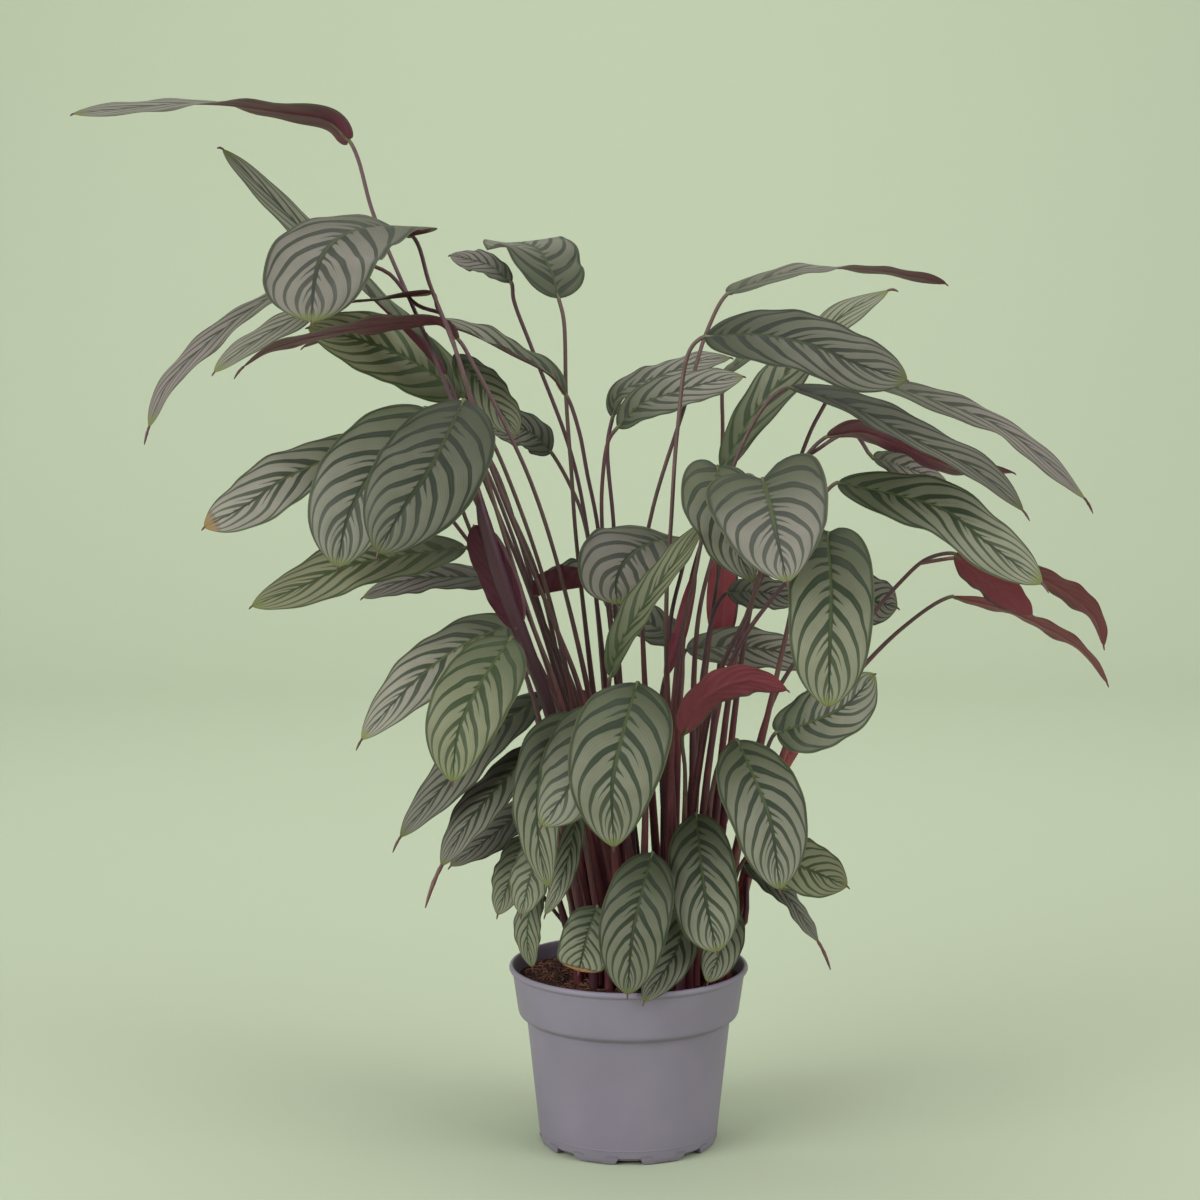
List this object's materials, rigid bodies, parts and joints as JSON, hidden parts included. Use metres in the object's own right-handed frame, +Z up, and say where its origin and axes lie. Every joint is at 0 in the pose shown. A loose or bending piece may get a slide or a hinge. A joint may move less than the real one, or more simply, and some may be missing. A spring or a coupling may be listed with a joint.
{
  "type": "potted prayer plant",
  "caption": "Prayer plant with striped oblong leaves, purple below, on long slender petioles, growing in a round tapered nursery pot with a stepped collar.",
  "frame": {"origin": "middle of the pot's underside, on the surface that the pot stands on", "axes": "+Z up along the pot's axis; -Y is the plant's front; +X is to the right as seen from the front"},
  "size_m": [0.8444, 0.4182, 0.8441],
  "materials": {
    "pot": "matte",
    "soil": "matte",
    "leaf": "satin"
  },
  "bodies": {
    "root": {"pot": "pot", "soil": "soil", "leaf_01": "leaf", "leaf_02": "leaf", "leaf_03": "leaf", "leaf_05": "leaf", "leaf_08": "leaf", "leaf_09": "leaf", "leaf_10": "leaf", "leaf_48": "leaf", "leaf_49": "leaf", "leaf_47": "leaf", "leaf_07": "leaf", "leaf_12": "leaf", "leaf_13": "leaf", "leaf_15": "leaf", "leaf_16": "leaf", "leaf_17": "leaf", "leaf_18": "leaf", "leaf_19": "leaf", "leaf_20": "leaf", "leaf_21": "leaf", "leaf_22": "leaf", "leaf_23": "leaf", "leaf_24": "leaf", "leaf_25": "leaf", "leaf_26": "leaf", "leaf_27": "leaf", "leaf_29": "leaf", "leaf_32": "leaf", "leaf_33": "leaf", "leaf_34": "leaf", "leaf_35": "leaf", "leaf_36": "leaf", "leaf_37": "leaf", "leaf_58": "leaf", "leaf_31": "leaf", "leaf_46": "leaf", "leaf_50": "leaf", "leaf_51": "leaf", "leaf_52": "leaf", "leaf_42": "leaf", "leaf_43": "leaf", "leaf_45": "leaf", "leaf_65": "leaf", "leaf_66": "leaf", "leaf_67": "leaf", "leaf_40": "leaf", "leaf_41": "leaf", "leaf_53": "leaf", "leaf_54": "leaf", "leaf_55": "leaf", "leaf_56": "leaf", "leaf_57": "leaf", "leaf_59": "leaf", "leaf_60": "leaf", "leaf_61": "leaf", "leaf_62": "leaf", "leaf_70": "leaf", "leaf_71": "leaf"}
  },
  "joints": []
}
